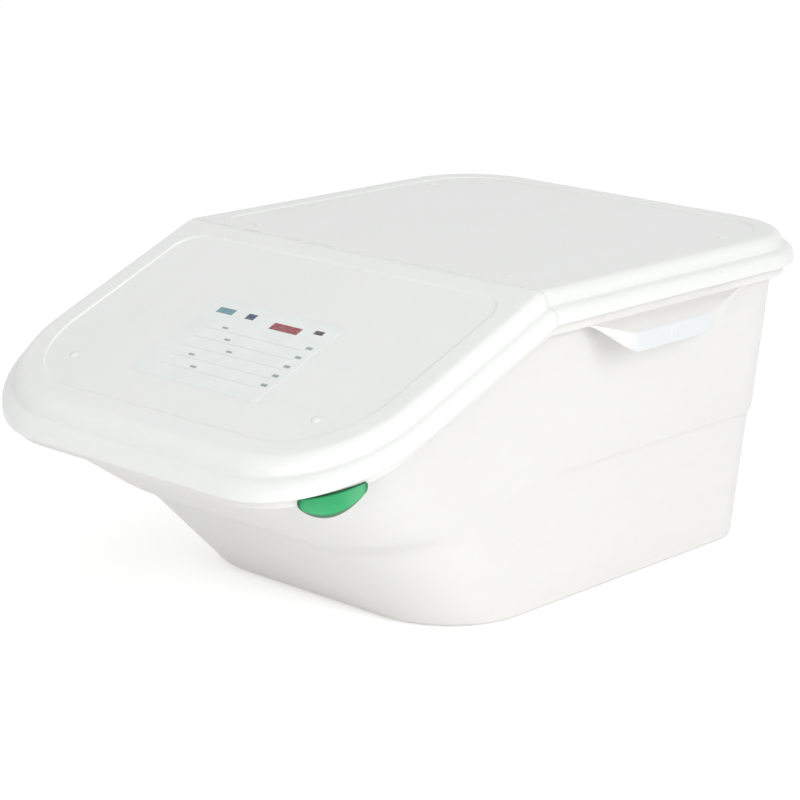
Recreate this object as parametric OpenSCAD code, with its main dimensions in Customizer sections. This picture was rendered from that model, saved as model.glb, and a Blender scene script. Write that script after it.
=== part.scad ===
// Sloping-front dry goods bin: an open tub with moulded grip ledges, a lid in
// two panels joined by a web hinge at the crease, a colour clip and a label.
// The front of the bin faces -Y, the floor it stands on is z = 0.

/* [Lid outline] */
// Length of the lid over its skirt
lid_l = 600; // [580:1:620]
// Width of the lid over its skirt
lid_w = 400; // [370:1:430]
// Height of the flat rear top above the floor
lid_h = 268; // [250:1:290]
// Plan radius of the two front corners
front_r = 100; // [85:1:115]
// Plan radius of the two rear corners
rear_r = 84; // [76:1:92]

/* [Slope and crease] */
// Distance of the crease from mid length, towards the front
crease_at = 59; // [50:1:70]
// Fall of the front panel below level
slope = 22.4; // [19:0.1:25]
// Radius of the bend at the crease
crease_r = 25; // [15:1:35]

/* [Lid section] */
// Thickness of the lid
lid_t = 2.2; // [1.8:0.1:2.6]
// Radius of the crest round the raised panel
crest_r = 9; // [7:0.5:10.5]
// Drop from the crest to the ledge
ledge_drop = 11.5; // [11:0.5:14]
// Width of the ledge outside the raised panel
ledge_w = 9.5; // [8.5:0.5:11]
// Lean of the raised panel's wall
wall_lean = 2; // [1:0.5:3]
// Radius of the shoulder between ledge and skirt
shoulder_r = 7; // [5:0.5:8]
// Drop from the crest to the bottom of the skirt
skirt_drop = 23.5; // [22:0.5:25]

/* [Panel recess] */
// Inset of the recess from the edge of the lid
recess_in = 32; // [29:1:40]
// Depth of the recess
recess_d = 1.2; // [0.8:0.1:1.6]
// Width of the recess wall
recess_run = 1.5; // [1:0.25:3]
// Flat land between the hinge line and the recess
crease_land = 16; // [12:1:22]
// Recess corner radius beside the hinge line
recess_r = 22; // [14:1:30]

/* [Web hinge] */
// Radius of the web that joins the two lid panels
web_r = 0.7; // [0.5:0.05:0.9]
// Height of the hinge axis above the lid surface
web_lift = 0.15; // [0.1:0.05:0.3]
// Gap between the two panels at the crease
slit = 0.6; // [0.5:0.05:0.8]
// Radial clearance between the web and the panel edges
web_gap = 0.1; // [0.05:0.05:0.15]

/* [Tub rim] */
// Clearance between the lid and the rim
rim_gap = 0.3; // [0.2:0.05:0.5]
// Thickness of the rim
rim_t = 2.2; // [1.8:0.1:2.6]
// Inset of the hanging lip from the lid's skirt
lip_in = 7.5; // [7.5:0.25:8.5]
// Thickness of the hanging lip
lip_t = 2; // [1.6:0.1:2.2]
// Drop from the crest to the bottom of the lip
lip_drop = 33; // [31:0.5:34.5]
// Inset of the tub wall from the lid's skirt
wall_in = 17.5; // [17:0.5:20]
// Drop from the crest to the top of the sloping tub wall
neck_drop = 33; // [32:0.5:36]

/* [Tub body] */
// Thickness of the tub wall
wall_t = 2.5; // [2:0.1:3]
// Extra run of the front wall's inner face, where the wall leans outwards
front_wall_k = 1.7; // [1.4:0.1:2]
// Thickness of the floor
floor_t = 3; // [2.5:0.25:4]
// Width of the base
base_w = 296; // [280:1:310]
// Front edge of the base, ahead of mid length
base_front = 103; // [85:1:120]
// Rear edge of the base, behind mid length
base_rear = 274; // [262:1:278]
// Plan radius of the base's front corners
base_front_r = 74; // [60:1:85]
// Plan radius of the base's rear corners
base_rear_r = 38; // [28:1:50]
// Rounding of the edge between base and wall
foot_r = 5; // [3:0.5:7]

/* [Stacking step] */
// Height of the step at the back of the tub
step_rear_z = 112; // [95:1:125]
// Height of the step at the front of the tub
step_front_z = 76; // [65:1:85]
// Width of the tub under the step
step_w = 322; // [312:1:330]
// Front wall under the step, ahead of mid length
step_front = 179; // [165:1:190]
// Rear wall under the step, behind mid length
step_rear = 279; // [276:0.5:280]
// Outward jog of the step at the sides and the back
step_out = 3; // [1:0.25:3.5]
// Forward jog of the step at the front
step_front_out = 24; // [16:1:28]
// Rise of the step at the front
step_front_rise = 12; // [9:1:15]

/* [Grip ledges] */
// Distance from the crease back to the start of the grip ledge
grip_start = 45; // [42:1:50]
// Length of the grip ledge
grip_l = 208; // [200:1:216]
// Length of the curved run at its front end
grip_run = 36; // [32:1:42]
// Length of the long curved run at its rear end
grip_sweep = 96; // [88:1:104]
// Reach of the grip ledge beyond the lid's skirt
grip_out = 15; // [12:1:19]
// Fall of the ledge's top from the rim lip to its edge
grip_fall = 6; // [4.5:0.5:7]
// Depth of the ledge below the bottom of the rim lip
grip_depth = 21; // [17:0.5:24]
// Thickness of the ledge
grip_t = 2.4; // [2:0.1:3]

/* [Colour clip] */
// Bearing of the clip's middle round the front corner, from the side
clip_mid = 41; // [35:1:48]
// Half the angle that the clip covers
clip_half = 15; // [12:0.5:17]
// Half the angle that its hook covers
hook_half = 9; // [6:0.5:11]
// Gap between the lid's skirt and the top of the clip
clip_gap = 2; // [1:0.25:2.5]
// Drop of the clip's tip on the side below its tip on the front
clip_tilt = 3; // [1:0.5:4]
// Height of the clip at its middle
clip_h = 17.5; // [16:0.5:20]
// Height of the clip at its tips
clip_tip_h = 6.5; // [5:0.5:8]
// Thickness of the clip at its middle
clip_t = 8; // [6.5:0.5:9]
// Thickness of the clip at its tips
clip_tip_t = 3.5; // [3:0.25:5]
// Thickness of the hook behind the rim lip
hook_t = 1.8; // [1.4:0.1:2]
// Fit between the hook and the rim lip
hook_gap = 0.3; // [0.2:0.05:0.4]

/* [Label] */
// Width of the label
label_w = 134; // [110:1:150]
// Height of the label along the slope
label_h = 102; // [80:1:115]
// Distance from the crease to the middle of the label, along the slope
label_at = 138; // [120:1:150]
// Thickness of the label
label_t = 0.3; // [0.2:0.05:0.4]
// Corner radius of the label
label_r = 3; // [1:0.5:6]

/* [Hidden] */

// Facets in each quarter circle of a plan corner
corner_n = 10;
// Facets in each corner of a recess beside the hinge line
recess_n = 4;
// Steps along each half of the crease bend
bend_n = 3;
// Steps along a straight side between the crease bend and a corner
side_n = 2;
// Facets in the crest and in the shoulder
crest_n = 3;
shoulder_n = 3;
// Steps along the curved end of a grip ledge
grip_n = 8;
// Steps along the clip and round its face
clip_n = 16;
face_n = 6;
// Facets of the hinge web
$fn = 32;

// Places shared by the pieces
half_l = lid_l / 2;
half_w = lid_w / 2;
bend_t = crease_r * tan(slope / 2);
hinge_y = bend_t - crease_at - crease_r * sin(slope / 2);
hinge_z = lid_h - crease_r * (1 - cos(slope / 2)) + web_lift;
crest_in = ledge_w + wall_lean + crest_r;
rim_drop = ledge_drop + lid_t + rim_gap;
rim_r = shoulder_r - lid_t - rim_gap;
rim_under = rim_drop + rim_t;
neck_front_z = crest_z(wall_in - half_l) - neck_drop;
neck_rear_z = lid_h - neck_drop;

function lerp(a, b, t) = a + (b - a) * t;
function ease(t) = t * t * (3 - 2 * t);
function reversed(list) = [for (i = [len(list) - 1:-1:0]) list[i]];

// Height of the lid's crest at a place along the bin
function crest_z(y) =
    let (u = y + crease_at)
    u >= bend_t ? lid_h :
    u <= -bend_t * cos(slope) ? lid_h + u * tan(slope) :
    lid_h - crease_r + sqrt(crease_r * crease_r - (u - bend_t) * (u - bend_t));

// Quarter of a plan corner, from bearing a
function corner(cx, cy, r, a, first, last) =
    [for (i = [first:last]) let (b = a + 90 * i / corner_n) [cx + r * cos(b), cy + r * sin(b)]];

// Both triangles of each quad between two rings of points, as indices
function band(a, b, n, closed, flip = false) =
    [for (i = [0:(closed ? n : n - 1) - 1])
        let (j = (i + 1) % n)
        each (flip ? [[a + i, b + i, b + j], [a + i, b + j, a + j]]
                   : [[a + i, a + j, b + j], [a + i, b + j, b + i]])];

// Flat cap over a ring of n points whose first m are mirrored end for end, as are the
// rest: rungs run from side to side
function cap(first, n, m, flip) =
    [for (k = [(m - n) / 2:m / 2 - 2])
        let (a = first + (k + n) % n, b = first + (k + 1 + n) % n,
            c = first + (m - 2 - k) % n, d = first + (m - 1 - k) % n)
        each (flip ? [[a, b, c], [a, c, d]] : [[a, c, b], [a, d, c]])];

// Closed solid through a stack of rings that all have the same number of points
module skin(rings, flip = false, mirrored = 0) {
    n = len(rings[0]);
    last = (len(rings) - 1) * n;
    first_cap = [for (i = [0:n - 1]) i];
    last_cap = [for (i = [0:n - 1]) last + i];
    polyhedron(
        points = [for (r = rings) each r],
        faces = concat(
            mirrored > 0 ? cap(0, n, mirrored, flip) : [flip ? first_cap : reversed(first_cap)],
            mirrored > 0 ? cap(last, n, mirrored, !flip) : [flip ? reversed(last_cap) : last_cap],
            [for (k = [0:len(rings) - 2]) each band(k * n, k * n + n, n, true, flip)]),
        convexity = 10);
}

// Ends of the grip ledges
grip_front = grip_start - crease_at;
grip_back = grip_front + grip_l;

// Places along a straight side of the rim, as shares of its length
side_front = front_r - half_l;
side_rear = half_l - rear_r;
side_y = concat(
    [for (i = [0:side_n - 1]) lerp(side_front, -crease_at - bend_t * cos(slope), i / side_n)],
    [for (i = [0:2 * bend_n - 1])
        lerp(-crease_at - bend_t * cos(slope), bend_t - crease_at, i / (2 * bend_n))],
    [bend_t - crease_at],
    [for (i = [0:grip_n]) grip_front + grip_run * i / grip_n],
    [lerp(grip_front + grip_run, grip_back - grip_sweep, 0.5)],
    [for (i = [0:grip_n]) grip_back - grip_sweep * (1 - i / grip_n)],
    [lerp(grip_back, side_rear, 0.5), side_rear]);
side_share = [for (y = side_y) (y - side_front) / (side_rear - side_front)];

// Rounded outline of the tub at one level, from the right side's front end
function outline(hw, front, rear, rf, rr) =
    let (side = [for (s = side_share) lerp(rf - front, rear - rr, s)])
    concat(
        [for (y = side) [hw, y]],
        corner(hw - rr, rear - rr, rr, 0, 1, corner_n),
        corner(rr - hw, rear - rr, rr, 90, 0, corner_n),
        [for (i = [len(side) - 2:-1:0]) [-hw, side[i]]],
        corner(rf - hw, rf - front, rf, 180, 1, corner_n),
        corner(hw - rf, rf - front, rf, 270, 0, corner_n - 1));

// Ring of the rim: inset from the lid's skirt and drop below the crest
function rim_ring(in, drop) =
    [for (p = outline(half_w - in, half_l - in, half_l - in, front_r - in, rear_r - in))
        [p[0], p[1], crest_z(p[1]) - drop]];

// Ring of the rim lip: its own inset and drop, which the grip ledges ease to another
function lip_ring(lip, grip) =
    [for (p = rim_ring(lip[0], lip[1])) let (s = grip_share(p[1]))
        p + [sign(p[0]) * s * (lip[0] - grip[0]), 0, -s * (grip[1] - lip[1])]];
function grip_share(y) =
    ease(max(0, min(1, (y - grip_front) / grip_run, (grip_back - y) / grip_sweep)));

// Share of the rise from the front of the neck to its back, at each point of a ring
neck_share = [for (p = rim_ring(wall_in, neck_drop))
    (p[2] - neck_front_z) / (neck_rear_z - neck_front_z)];

// Levels of the tub wall: height at the front and the back, half width, front, rear
// and the two plan radii
base_level = [0, 0, base_w / 2, base_front, base_rear, base_front_r, base_rear_r];
neck_level = [neck_front_z, neck_rear_z, half_w - wall_in, half_l - wall_in,
    half_l - wall_in, front_r - wall_in, rear_r - wall_in];
step_level = [step_front_z, step_rear_z, step_w / 2, step_front, step_rear,
    lerp(base_front_r, front_r - wall_in, 0.5), lerp(base_rear_r, rear_r - wall_in, 0.35)];
step_top = step_level
    + [step_front_rise, step_out, step_out, step_front_out, step_out / 2, step_out / 2, step_out / 2];

// Ring of the tub wall, drawn in by an inset, with the front drawn in further
function wall_ring(level, in = 0, front_in = 0, up = 0) =
    let (ring = outline(level[2] - in, level[3] - front_in, level[4] - in,
        level[5] - in, level[6] - in))
    [for (i = [0:len(ring) - 1])
        [ring[i][0], ring[i][1], lerp(level[0], level[1], neck_share[i]) + up]];

// Level at a height near the base, on the wall between base and step
function low_level(z) =
    let (f = lerp(base_level, step_level, z / step_front_z), r = lerp(base_level, step_level, z / step_rear_z))
    [z, z, r[2], f[3], r[4], f[5], r[6]];

outer_wall = [
    wall_ring(base_level, foot_r * 0.8, foot_r * 0.8),
    wall_ring(low_level(foot_r * 0.25), foot_r * 0.3, foot_r * 0.3),
    wall_ring(low_level(foot_r)),
    wall_ring(lerp(low_level(foot_r), step_level, 0.5)),
    wall_ring(step_level),
    wall_ring(step_top),
    wall_ring(lerp(step_top, neck_level, 0.5)),
    wall_ring(neck_level)];
rim_rings = [
    rim_ring(wall_in, rim_under),
    rim_ring(lip_in + lip_t, rim_under),
    lip_ring([lip_in + lip_t, lip_drop - lip_t / 3], [lip_in + lip_t, lip_drop + grip_t]),
    lip_ring([lip_in + 0.85 * lip_t, lip_drop - lip_t / 9],
        [grip_t - grip_out, lip_drop + grip_fall + grip_t]),
    lip_ring([lip_in + 0.65 * lip_t, lip_drop], [grip_t - grip_out, lip_drop + grip_depth]),
    lip_ring([lip_in + 0.35 * lip_t, lip_drop], [-grip_out, lip_drop + grip_depth]),
    lip_ring([lip_in + 0.15 * lip_t, lip_drop - lip_t / 9], [-grip_out, lip_drop + grip_fall + grip_t]),
    lip_ring([lip_in + 0.07 * lip_t, lip_drop - lip_t / 6], [grip_t / 2 - grip_out, lip_drop + grip_fall]),
    lip_ring([lip_in, lip_drop - lip_t / 3], [lip_in, lip_drop]),
    rim_ring(lip_in, rim_under),
    rim_ring(shoulder_r, rim_under),
    rim_ring(lid_t + rim_gap + rim_t, ledge_drop + shoulder_r),
    rim_ring(lid_t + rim_gap, ledge_drop + shoulder_r),
    for (i = [shoulder_n - 1:-1:0]) let (a = 90 * i / shoulder_n)
        rim_ring(shoulder_r - rim_r * sin(a), ledge_drop + shoulder_r - rim_r * cos(a)),
    rim_ring(wall_in + wall_t, rim_drop)];
inner_in = wall_t;
inner_front = wall_t * front_wall_k;
inner_wall = [
    wall_ring(neck_level, inner_in, inner_in),
    wall_ring(step_top, inner_in, inner_front),
    wall_ring(step_level, inner_in, inner_front),
    wall_ring(low_level(floor_t + foot_r), inner_in, inner_front),
    wall_ring(low_level(floor_t), inner_in + foot_r * 0.8, inner_front + foot_r * 0.8)];

module tub() {
    color("white", 0.8)
        skin(concat(outer_wall, rim_rings, inner_wall), flip = true, mirrored = 2 * (len(side_y) + corner_n));
}

// One panel of the lid. The rear cover has side = 1. The front flap has side = -1
// and is the same construction turned half round.
function panel_start(side) = side * hinge_y + slit / 2;
function panel_r(side) = side > 0 ? rear_r : front_r;
function bend_end(side) = side > 0 ? bend_t - crease_at : crease_at + bend_t * cos(slope);
function side_ys(side, start) =
    let (end = half_l - panel_r(side), bend = bend_end(side))
    concat([for (i = [0:bend_n - 1]) lerp(start, bend, i / bend_n)],
        [for (i = [0:side_n]) lerp(bend, end, i / side_n)]);

// Columns of a panel from the crease round the far end and back to the crease
function columns(side, in, ys) =
    let (hw = half_w - in, end = half_l - in, r = panel_r(side) - in)
    concat([for (y = ys) [hw, y]],
        corner(hw - r, end - r, r, 0, 1, corner_n),
        corner(r - hw, end - r, r, 90, 0, corner_n),
        [for (i = [len(ys) - 2:-1:0]) [-hw, ys[i]]]);

// Turns plan points of a panel into points at a drop below the crest
function placed(side, pts, drop) =
    [for (p = pts) [side * p[0], side * p[1], crest_z(side * p[1]) - drop]];

// Recess outline: more columns close it beside the hinge line
function recess_ring(side, in, drop) =
    let (y0 = panel_start(side) + crease_land + in - recess_in,
        r = recess_r - (in - recess_in),
        n = bend_n + side_n,
        ys = [for (i = [0:n]) lerp(y0 + r, half_l - panel_r(side), i / n)])
    placed(side, concat(columns(side, in, ys), near_corners(half_w - in - r, y0 + r, r)), drop);
function near_corners(x, y, r) = concat(
    [for (i = [1:recess_n]) let (a = 180 + 90 * i / recess_n) [r * cos(a) - x, y + r * sin(a)]],
    [for (i = [0:recess_n - 1]) let (a = 270 + 90 * i / recess_n) [r * cos(a) + x, y + r * sin(a)]]);

// Points across the crease that match the recess corners
function crease_points(y) =
    [for (p = near_corners(half_w - recess_in - recess_r, 0, recess_r)) [p[0], y]];

function crest_ring(side, in, drop, start) =
    placed(side, columns(side, in, side_ys(side, start)), drop);

// Outer and inner rings of the panel's edge, from the crest down to the skirt
edge_outer = concat(
    [for (i = [1:crest_n]) let (a = 90 * i / crest_n)
        [crest_in - crest_r * sin(a), crest_r * (1 - cos(a))]],
    [[ledge_w, ledge_drop]],
    [for (i = [0:shoulder_n]) let (a = 90 * i / shoulder_n)
        [shoulder_r * (1 - sin(a)), ledge_drop + shoulder_r * (1 - cos(a))]],
    [[0, skirt_drop]]);
edge_inner = concat(
    [for (i = [1:crest_n]) let (a = 90 * i / crest_n)
        [crest_in - (crest_r - lid_t) * sin(a), crest_r - (crest_r - lid_t) * cos(a)]],
    [[ledge_w + lid_t, ledge_drop + lid_t]],
    [for (i = [0:shoulder_n]) let (a = 90 * i / shoulder_n)
        [shoulder_r - (shoulder_r - lid_t) * sin(a),
            ledge_drop + shoulder_r - (shoulder_r - lid_t) * cos(a)]],
    [[lid_t, skirt_drop]]);

module panel(side) {
    start = panel_start(side);
    chamfer = web_r + web_gap + web_lift;
    top_start = start + chamfer;
    cols = len(columns(side, 0, side_ys(side, start)));
    near = 2 * recess_n;
    n = cols + near;
    edges = len(edge_outer);
    top_ring = concat(crest_ring(side, crest_in, 0, top_start), placed(side, crease_points(top_start), 0));
    groove = placed(side, concat([[crest_in - half_w, start]], crease_points(start),
        [[half_w - crest_in, start]]), chamfer);
    under_ring = concat(crest_ring(side, crest_in, lid_t, start), placed(side, crease_points(start), lid_t));
    rings = concat(
        recess_ring(side, recess_in + recess_run, recess_d),
        recess_ring(side, recess_in, 0),
        top_ring,
        [for (e = edge_outer) each crest_ring(side, e[0], e[1], start)],
        [for (e = reversed(edge_inner)) each crest_ring(side, e[0], e[1], start)],
        under_ring,
        recess_ring(side, recess_in - lid_t / 2, lid_t),
        recess_ring(side, recess_in + recess_run - lid_t / 2, lid_t + recess_d),
        groove);
    top = 2 * n;
    outer = 3 * n;
    inner = outer + edges * cols;
    under = inner + edges * cols;
    cut = under + 3 * n;
    outer_at = [top, for (k = [0:edges - 1]) outer + k * cols];
    inner_at = [under, for (k = [edges - 1:-1:0]) inner + k * cols];
    polyhedron(
        points = rings,
        faces = concat(
            cap(0, n, cols, false),
            cap(under + 2 * n, n, cols, true),
            band(0, n, n, true),
            band(n, top, n, true),
            band(under, under + n, n, true),
            band(under + n, under + 2 * n, n, true),
            [for (k = [0:edges - 1]) each band(outer_at[k], outer_at[k + 1], cols, false)],
            [for (k = [0:edges - 1]) each band(inner_at[k + 1], inner_at[k], cols, false)],
            band(outer_at[edges], inner_at[edges], cols, false),
            [for (i = [0:near])
                let (a = top + cols - 1 + i, b = i == near ? top : a + 1)
                each [[a, b, cut + i + 1], [a, cut + i + 1, cut + i]]],
            [for (i = [0:near])
                let (a = under + cols - 1 + i, b = i == near ? under : a + 1)
                each [[cut + i, cut + i + 1, b], [cut + i, b, a]]],
            [[top, outer, cut + near + 1], [outer + cols - 1, top + cols - 1, cut]],
            end_face(cut + near + 1, outer_at, inner_at, 0, false),
            end_face(cut, outer_at, inner_at, cols - 1, true)),
        convexity = 10);
}

// Section of the panel's edge at the crease, on one side
function end_face(first, outer_at, inner_at, col, flip) =
    [for (k = [0:len(outer_at) - 2])
        let (a = k == 0 ? first : outer_at[k] + col, b = outer_at[k + 1] + col,
            c = inner_at[k + 1] + col, d = inner_at[k] + col)
        each (flip ? [[b, a, d], [b, d, c]] : [[a, b, c], [a, c, d]])];

module rear_cover() {
    color("whitesmoke", 0.9) panel(1);
}

module front_flap() {
    color("whitesmoke", 0.9) panel(-1);
}

module hinge_web() {
    web_l = lid_w - 2 * crest_in - 2 * lid_t;
    color("gainsboro")
        translate([-web_l / 2, hinge_y, hinge_z])
            rotate([0, 90, 0])
                cylinder(r = web_r, h = web_l);
}

// Colour clip: a domed face outside the rim lip, a bridge under it and a hook behind
clip_top = skirt_drop + clip_gap;
face_r = front_r - lip_in + hook_gap;
hook_r = front_r - lip_in - lip_t - hook_gap;
bridge_drop = lip_drop + hook_gap;

function clip_point(bearing, r, drop) =
    let (y = front_r - half_l - r * sin(bearing))
    [half_w - front_r + r * cos(bearing), y, crest_z(y) - drop];

// Section of the clip's face at one bearing: straight back, domed front
function face_ring(s) =
    let (bearing = clip_mid + s * clip_half, swell = 1 - s * s,
        h = lerp(clip_tip_h, clip_h, swell), t = lerp(clip_tip_t, clip_t, swell),
        top = clip_top + clip_tilt * (1 - s) / 2)
    concat(
        [clip_point(bearing, face_r, top), clip_point(bearing, face_r, top + h)],
        [for (i = [0:face_n]) let (u = i / face_n)
            clip_point(bearing, face_r + t * lerp(0.45, 1, sin(180 * u)), top + h * (1 - u))]);

function hook_ring(bearing) = [
    for (p = [[hook_r, bridge_drop], [hook_r, clip_top + clip_gap],
        [hook_r - hook_t, clip_top + clip_gap], [hook_r - hook_t, bridge_drop + hook_t],
        [face_r + hook_t, bridge_drop + hook_t], [face_r + hook_t, bridge_drop]])
        clip_point(bearing, p[0], p[1])];

module colour_clip() {
    color([0.18, 0.66, 0.4])
    union() {
        skin([for (i = [0:clip_n]) face_ring(2 * i / clip_n - 1)], flip = true);
        skin([for (i = [0:clip_n]) hook_ring(clip_mid + hook_half * (2 * i / clip_n - 1))], flip = true);
    }
}

module label() {
    flat = [label_w - 2 * label_r, label_h - 2 * label_r];
    color([0.93, 0.95, 0.97])
        translate([0, -crease_at, lid_h - recess_d])
            rotate([slope, 0, 0])
                translate([0, -label_at, 0])
                    linear_extrude(label_t)
                        union() {
                            square([label_w, flat[1]], center = true);
                            square([flat[0], label_h], center = true);
                            for (x = [-1, 1], y = [-1, 1])
                                translate([x * flat[0] / 2, y * flat[1] / 2]) circle(r = label_r);
                        }
}

tub();
rear_cover();
front_flap();
hinge_web();
colour_clip();
label();
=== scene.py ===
"""Dresses the sloping-front rice bin: lid panels, tub, colour clip, label and studio."""

import logging
import math
from dataclasses import dataclass, field
from enum import Enum

import bmesh
import bpy
from mathutils import Matrix, Vector


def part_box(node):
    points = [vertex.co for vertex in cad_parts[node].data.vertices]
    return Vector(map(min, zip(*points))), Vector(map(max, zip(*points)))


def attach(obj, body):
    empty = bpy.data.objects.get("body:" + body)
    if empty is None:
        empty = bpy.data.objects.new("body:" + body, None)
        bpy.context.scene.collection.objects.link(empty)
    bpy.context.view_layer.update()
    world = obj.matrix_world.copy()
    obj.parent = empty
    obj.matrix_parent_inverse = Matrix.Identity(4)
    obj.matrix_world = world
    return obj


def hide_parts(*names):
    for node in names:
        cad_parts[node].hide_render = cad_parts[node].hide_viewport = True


log = logging.getLogger("rice_bin")
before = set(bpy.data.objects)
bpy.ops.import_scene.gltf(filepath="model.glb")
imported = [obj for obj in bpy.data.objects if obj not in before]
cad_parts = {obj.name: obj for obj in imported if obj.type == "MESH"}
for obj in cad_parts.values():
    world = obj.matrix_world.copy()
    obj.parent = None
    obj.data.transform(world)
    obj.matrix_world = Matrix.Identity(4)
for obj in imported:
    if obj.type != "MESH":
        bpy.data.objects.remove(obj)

Ring = list[Vector]
Section = list[tuple[float, float]]
Given = bpy.types.NodeSocket | float | tuple


class Side(Enum):
    """The two lid panels, by the side of the crease that they lie on."""

    REAR = 1
    FRONT = -1


def lerp(low: float, high: float, share: float) -> float:
    """Returns the value at a share of the way from low to high."""
    return low + (high - low) * share


def ease(share: float) -> float:
    """Returns a share clamped to 0 to 1 and eased at both ends."""
    held = max(0.0, min(1.0, share))
    return held * held * (3 - 2 * held)


def steps(low: float, high: float, count: int) -> list[float]:
    """Returns count even steps from low up to, but not including, high."""
    return [lerp(low, high, i / count) for i in range(count)]


def filleted(corners: list[tuple[float, float, float]], count: int) -> Section:
    """Rounds the corners of an open section.

    Args:
        corners: Each corner's two coordinates and its fillet radius, 0 where it stays sharp.
        count: Segments in each fillet.

    Returns:
        The section's points in order.
    """
    points: Section = []
    for i, (x, y, radius) in enumerate(corners):
        here = Vector((x, y))
        if radius == 0 or i in (0, len(corners) - 1):
            points.append((x, y))
            continue
        back = (Vector(corners[i - 1][:2]) - here).normalized()
        ahead = (Vector(corners[i + 1][:2]) - here).normalized()
        half = back.angle(ahead) / 2
        centre = here + (back + ahead).normalized() * radius / math.sin(half)
        first = here + back * radius / math.tan(half) - centre
        last = here + ahead * radius / math.tan(half) - centre
        turn = math.atan2(first.cross(last), first.dot(last))
        for k in range(count + 1):
            spoke = Matrix.Rotation(turn * k / count, 2) @ first
            points.append((centre.x + spoke.x, centre.y + spoke.y))
    return points


@dataclass(frozen=True)
class Plan:
    """A rounded plan outline, in metres.

    Attributes:
        half_w: Half of its width.
        front: Reach of its front edge ahead of mid length.
        rear: Reach of its rear edge behind mid length.
        front_r: Radius of its two front corners.
        rear_r: Radius of its two rear corners.
    """

    half_w: float
    front: float
    rear: float
    front_r: float
    rear_r: float

    def drawn_in(self, inset: float, front_inset: float | None = None) -> "Plan":
        """Draws the plan in.

        Args:
            inset: Distance drawn in.
            front_inset: Distance drawn in at the front, where it differs.

        Returns:
            The smaller plan.
        """
        ahead = inset if front_inset is None else front_inset
        return Plan(self.half_w - inset, self.front - ahead, self.rear - inset,
                    self.front_r - inset, self.rear_r - inset)

    def toward(self, other: "Plan", share: float) -> "Plan":
        """Returns the plan at a share of the way from this one to another."""
        return Plan(*(lerp(getattr(self, name), getattr(other, name), share)
                      for name in self.__dataclass_fields__))

    def corner(self, sign: int, rear: bool, first: int, last: int, count: int) -> list[tuple[float, float]]:
        """Returns points round one corner.

        Args:
            sign: 1 for the right side, -1 for the left.
            rear: Whether it is a rear corner.
            first: First step along the quarter circle.
            last: Last step along it.
            count: Steps in the whole quarter circle.

        Returns:
            Plan points, turning anticlockwise seen from above.
        """
        radius = self.rear_r if rear else self.front_r
        centre = (sign * (self.half_w - radius), self.rear - radius if rear else radius - self.front)
        start = {(1, True): 0.0, (-1, True): 0.5, (-1, False): 1.0, (1, False): 1.5}[(sign, rear)]
        turns = [math.pi * (start + 0.5 * i / count) for i in range(first, last + 1)]
        return [(centre[0] + radius * math.cos(a), centre[1] + radius * math.sin(a)) for a in turns]

    def outline(self, shares: list[float], count: int) -> list[tuple[float, float]]:
        """Walks the plan from the front of its right side, anticlockwise seen from above.

        Args:
            shares: Places of the columns along a straight side, from 0 to 1.
            count: Steps in each corner.

        Returns:
            The closed outline's points.
        """
        side = [lerp(self.front_r - self.front, self.rear - self.rear_r, s) for s in shares]
        return ([(self.half_w, y) for y in side]
                + self.corner(1, True, 1, count, count)
                + self.corner(-1, True, 0, count, count)
                + [(-self.half_w, y) for y in reversed(side[:-1])]
                + self.corner(-1, False, 1, count, count)
                + self.corner(1, False, 0, count - 1, count))


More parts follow.
